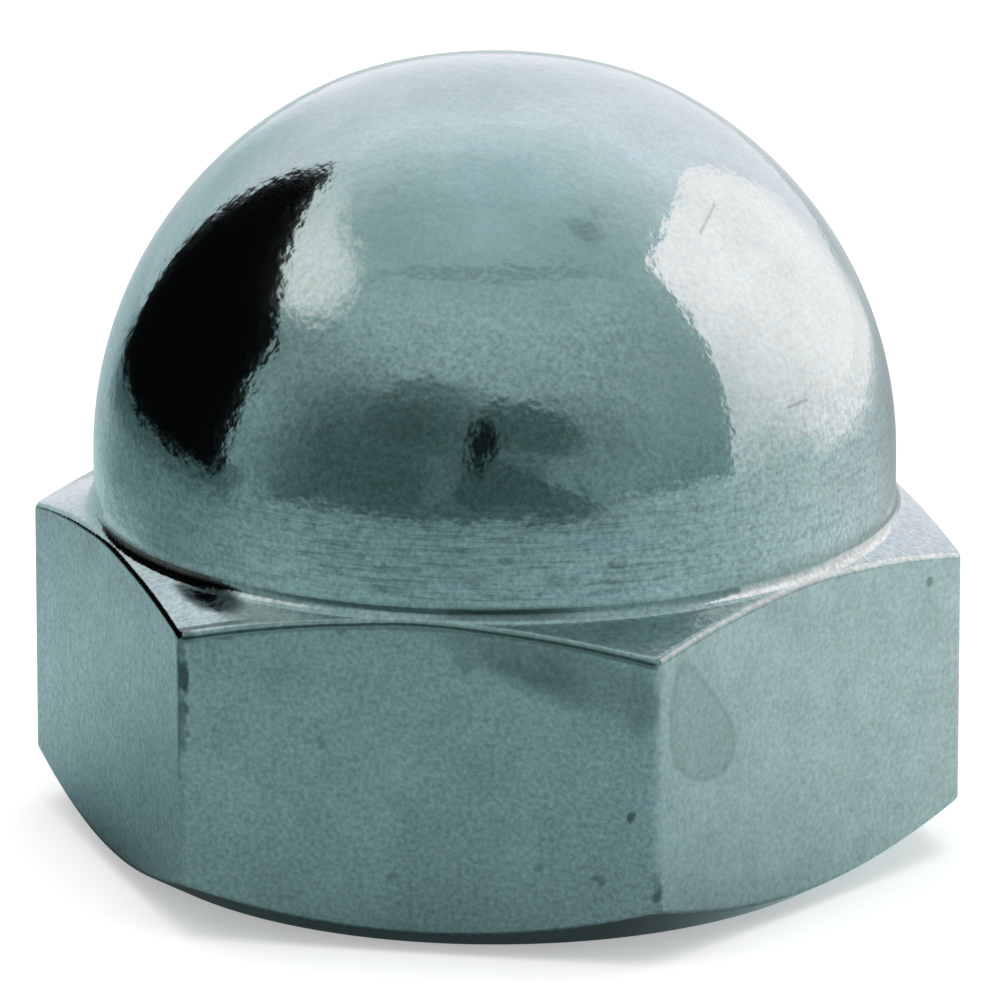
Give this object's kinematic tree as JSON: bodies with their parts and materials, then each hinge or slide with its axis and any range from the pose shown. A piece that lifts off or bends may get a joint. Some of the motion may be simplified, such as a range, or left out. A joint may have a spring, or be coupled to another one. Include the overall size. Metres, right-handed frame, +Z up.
{
  "type": "domed cap nut",
  "caption": "Hexagon nut closed by a hemispherical dome, with a blind metric thread from below that covers the end of a bolt or stud.",
  "frame": {"origin": "centre of the flat bearing face, on the thread's axis", "axes": "+Z up the thread's axis to the crown of the dome; two corners of the hexagon on the X axis, two flats square to Y"},
  "size_m": [0.0218, 0.019, 0.0183],
  "materials": {
    "plated_steel": "bright plating over steel: polished dome and chamfers, satin flats"
  },
  "bodies": {
    "root": {"cap_nut": "plated_steel"}
  },
  "joints": []
}
